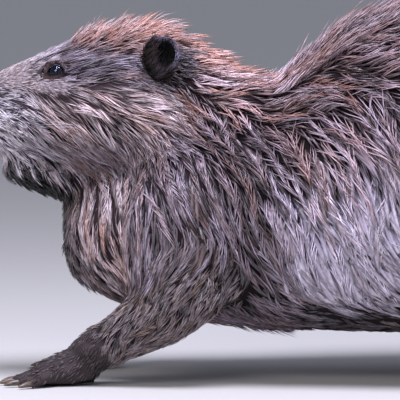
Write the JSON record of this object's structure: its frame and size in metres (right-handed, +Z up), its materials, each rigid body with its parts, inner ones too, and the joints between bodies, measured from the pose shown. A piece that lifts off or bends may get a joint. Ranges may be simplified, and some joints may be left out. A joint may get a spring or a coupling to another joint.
{
  "type": "beaver",
  "caption": "Life-size Eurasian beaver on all fours, a still model with coarse wet fur, short round ears, blunt muzzle, webbed hind feet and a flat scaled tail.",
  "frame": {"origin": "centre of the model's plan, at floor level under the trunk", "axes": "+X runs from the muzzle to the tail's tip, +Z up; the animal faces -X and its right side is towards +Y"},
  "size_m": [1.0087, 0.346, 0.2969],
  "materials": {
    "coat": "coarse wet guard hair over dense underfur",
    "ear": "thin dark skin with short fine hair",
    "nose": "bare moist pebbled skin",
    "eye": "wet gloss",
    "claw": "worn horn, satin",
    "bare_skin": "dark wrinkled skin of the feet",
    "tail_scale": "small horny scales on dark skin"
  },
  "bodies": {
    "root": {"claw_fore_left_1": "claw", "claw_fore_left_2": "claw", "claw_fore_left_3": "claw", "claw_fore_left_4": "claw", "claw_fore_left_5": "claw", "claw_hind_left_1": "claw", "claw_hind_left_2": "claw", "claw_hind_left_3": "claw", "claw_hind_left_4": "claw", "claw_hind_left_5": "claw", "eye_left": "eye", "ear_left": "ear", "forepaw_left": "bare_skin", "hind_foot_left": "bare_skin", "claw_fore_right_1": "claw", "claw_fore_right_2": "claw", "claw_fore_right_3": "claw", "claw_fore_right_4": "claw", "claw_fore_right_5": "claw", "claw_hind_right_1": "claw", "claw_hind_right_2": "claw", "claw_hind_right_3": "claw", "claw_hind_right_4": "claw", "claw_hind_right_5": "claw", "eye_right": "eye", "ear_right": "ear", "forepaw_right": "bare_skin", "hind_foot_right": "bare_skin", "nose": "nose", "head": "coat", "lower_jaw": "coat", "neck": "coat", "shank_left": "coat", "thigh_left": "coat", "forearm_left": "coat", "upper_arm_left": "coat", "shank_right": "coat", "thigh_right": "coat", "forearm_right": "coat", "upper_arm_right": "coat", "tail_paddle": "tail_scale", "tail_root": "coat", "trunk": "coat"}
  },
  "joints": []
}
